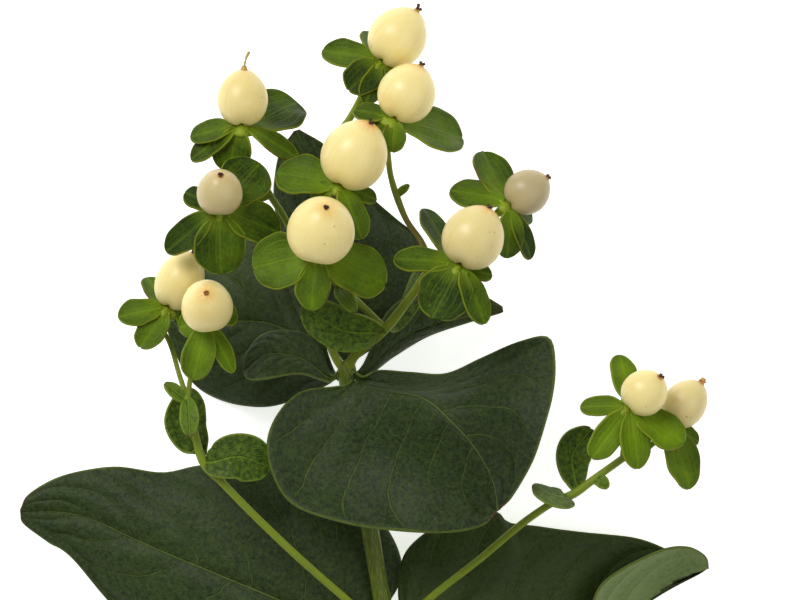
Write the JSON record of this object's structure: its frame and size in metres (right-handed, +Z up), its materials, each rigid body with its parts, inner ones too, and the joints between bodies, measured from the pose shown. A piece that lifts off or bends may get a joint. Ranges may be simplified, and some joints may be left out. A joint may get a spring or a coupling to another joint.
{
  "type": "hypericum berry stem",
  "caption": "Cut stem of hypericum with broad dark green leaves and a branching head of cream berries in leafy calyces, lying flat.",
  "frame": {"origin": "middle of the stem's box, on the surface that it lies on", "axes": "+Y along the stem from its cut end to its head, +Z up from the surface, towards the side that is seen in the picture"},
  "size_m": [0.1398, 0.2258, 0.0544],
  "materials": {
    "stem": "satin",
    "large_leaf": "satin",
    "small_leaf": "satin",
    "calyx": "satin",
    "berry": "gloss"
  },
  "bodies": {
    "root": {"berry_01": "berry", "berry_02": "berry", "berry_03": "berry", "berry_04": "berry", "berry_05": "berry", "berry_06": "berry", "berry_07": "berry", "berry_08": "berry", "berry_09": "berry", "berry_10": "berry", "berry_11": "berry", "berry_12": "berry", "calyx_01": "calyx", "calyx_02": "calyx", "calyx_03": "calyx", "calyx_04": "calyx", "calyx_05": "calyx", "calyx_06": "calyx", "calyx_07": "calyx", "calyx_08": "calyx", "calyx_09": "calyx", "calyx_10": "calyx", "calyx_11": "calyx", "calyx_12": "calyx", "leaf_back_left": "large_leaf", "leaf_back_right": "large_leaf", "leaf_back_top": "large_leaf", "leaf_fold": "large_leaf", "leaf_front": "large_leaf", "leaf_left_lower": "small_leaf", "leaf_left_upper": "small_leaf", "leaf_lower_left": "large_leaf", "leaf_lower_right": "large_leaf", "leaf_right_lower": "small_leaf", "leaf_right_upper": "small_leaf", "leaf_top_left": "small_leaf", "leaf_top_right": "small_leaf", "stem": "stem"}
  },
  "joints": []
}
